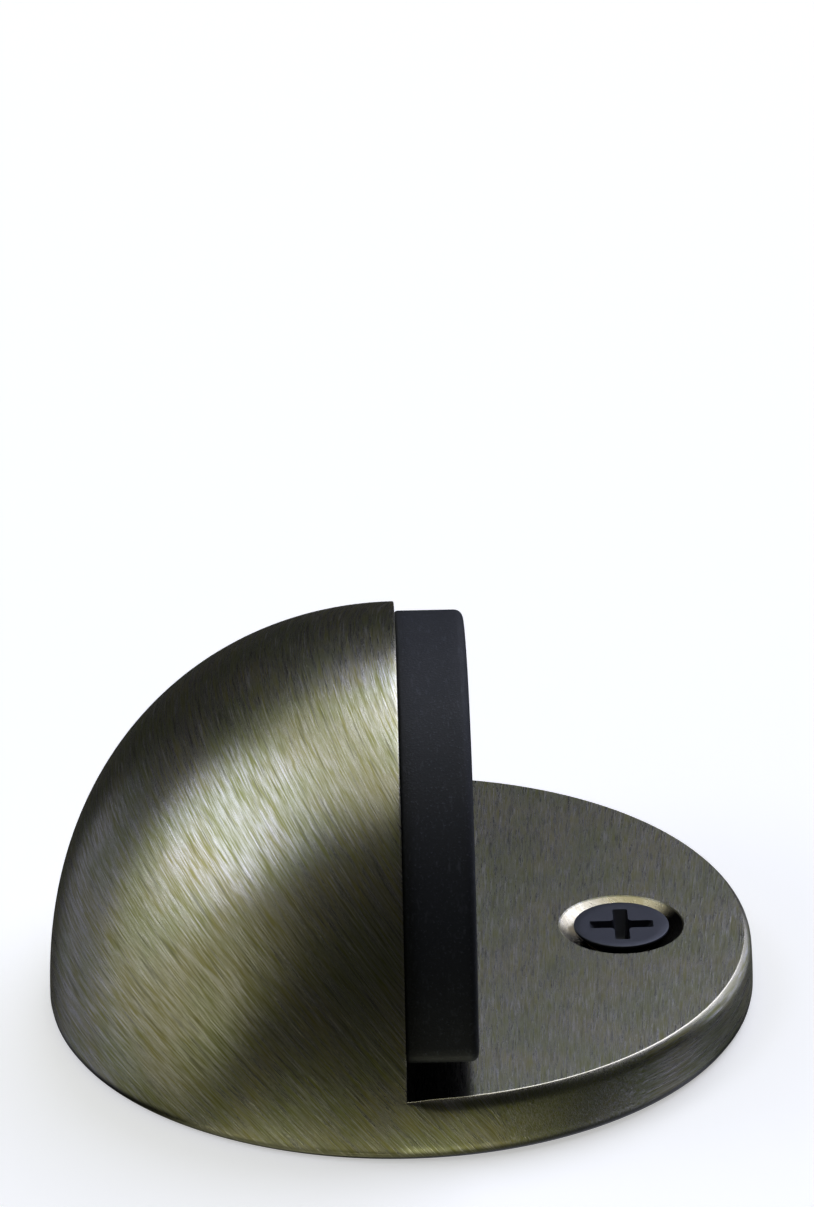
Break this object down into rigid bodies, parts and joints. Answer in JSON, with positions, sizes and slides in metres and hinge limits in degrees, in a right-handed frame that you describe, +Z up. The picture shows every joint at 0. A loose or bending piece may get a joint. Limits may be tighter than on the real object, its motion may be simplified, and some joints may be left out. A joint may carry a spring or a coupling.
{
  "type": "floor door stop",
  "caption": "Half-moon floor door stop: brushed antique brass dome and toe in one casting, black rubber buffer on its upright face, and a countersunk floor screw.",
  "frame": {"origin": "centre of the round base, on the floor", "axes": "+X from the upright face along the toe towards the door, +Z up from the floor, Y across, in the plane of the upright face"},
  "size_m": [0.045, 0.045, 0.049],
  "materials": {
    "antique_brass": "brushed antique brass, satin",
    "black_rubber": "matte black rubber",
    "black_screw": "satin black coated steel",
    "grey_nylon": "matte moulded nylon",
    "bright_steel": "ground steel"
  },
  "bodies": {
    "body": {"stop_body": "antique_brass", "floor_plug": "grey_nylon", "locating_pin": "bright_steel"},
    "buffer": {"rubber_buffer": "black_rubber"},
    "screw": {"fixing_screw": "black_screw"}
  },
  "joints": [
    {"name": "buffer_squeeze", "type": "slide", "parent": "body", "child": "buffer", "axis": [-1, 0, 0], "range_m": [0, 0.0008], "stiffness_N_per_m": 400000, "deforming": ["rubber_buffer"]},
    {"name": "screw_withdraw", "type": "slide", "parent": "body", "child": "screw", "axis": [0, 0, 1], "range_m": [0, 0.03]}
  ]
}
